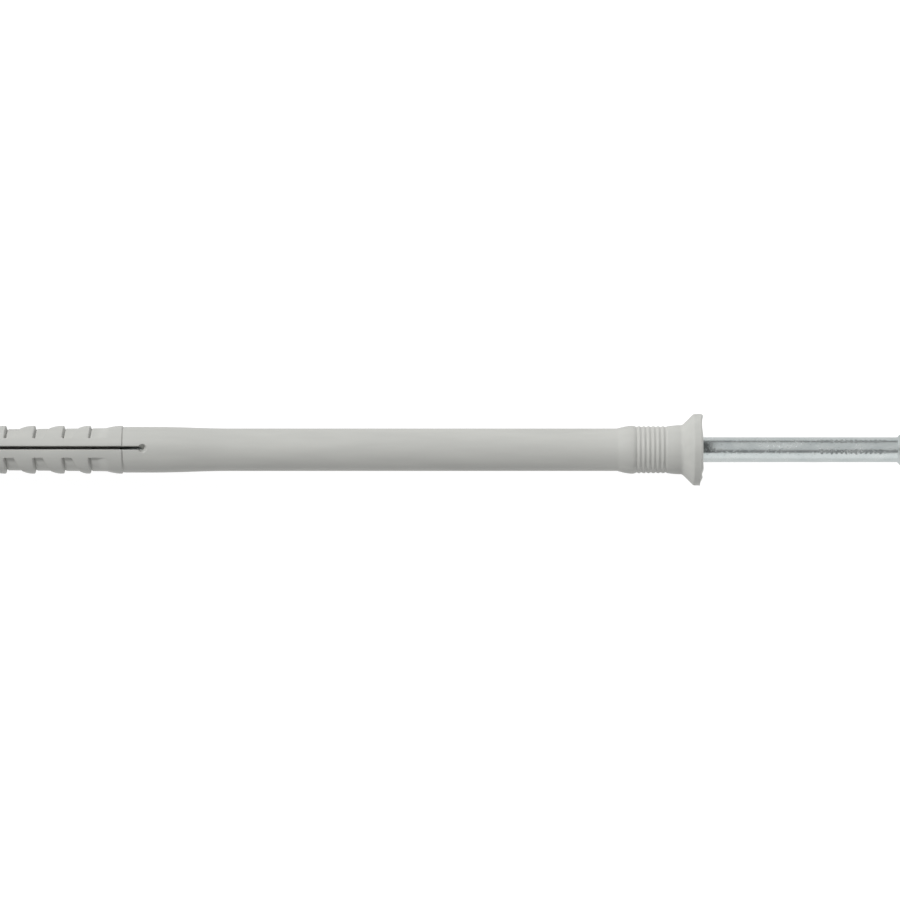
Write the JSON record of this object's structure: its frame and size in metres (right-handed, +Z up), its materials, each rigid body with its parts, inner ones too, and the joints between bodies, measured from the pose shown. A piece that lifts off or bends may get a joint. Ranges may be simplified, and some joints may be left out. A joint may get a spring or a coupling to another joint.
{
  "type": "hammer fixing plug",
  "caption": "Long nylon hammer fixing with countersunk head, ribbed collar and slit barbed tip, with its zinc-plated nail screw set ready to be driven in.",
  "frame": {"origin": "centre of the sleeve's face, on the axis, where the face lies flush with the fixture's surface", "axes": "+X along the axis from the sleeve's tip to the nail's head, +Z up across the slit's open side, +Y across the slit"},
  "size_m": [0.1764, 0.0126, 0.0126],
  "materials": {
    "nylon": "moulded light grey nylon, smooth with a soft sheen",
    "zinc_steel": "bright zinc-plated steel"
  },
  "bodies": {
    "sleeve": {"sleeve": "nylon"},
    "nail": {"nail": "zinc_steel"}
  },
  "joints": [
    {"name": "nail_drive", "type": "slide", "parent": "sleeve", "child": "nail", "axis": [-1, 0, 0], "range_m": [0, 0.03646]}
  ]
}
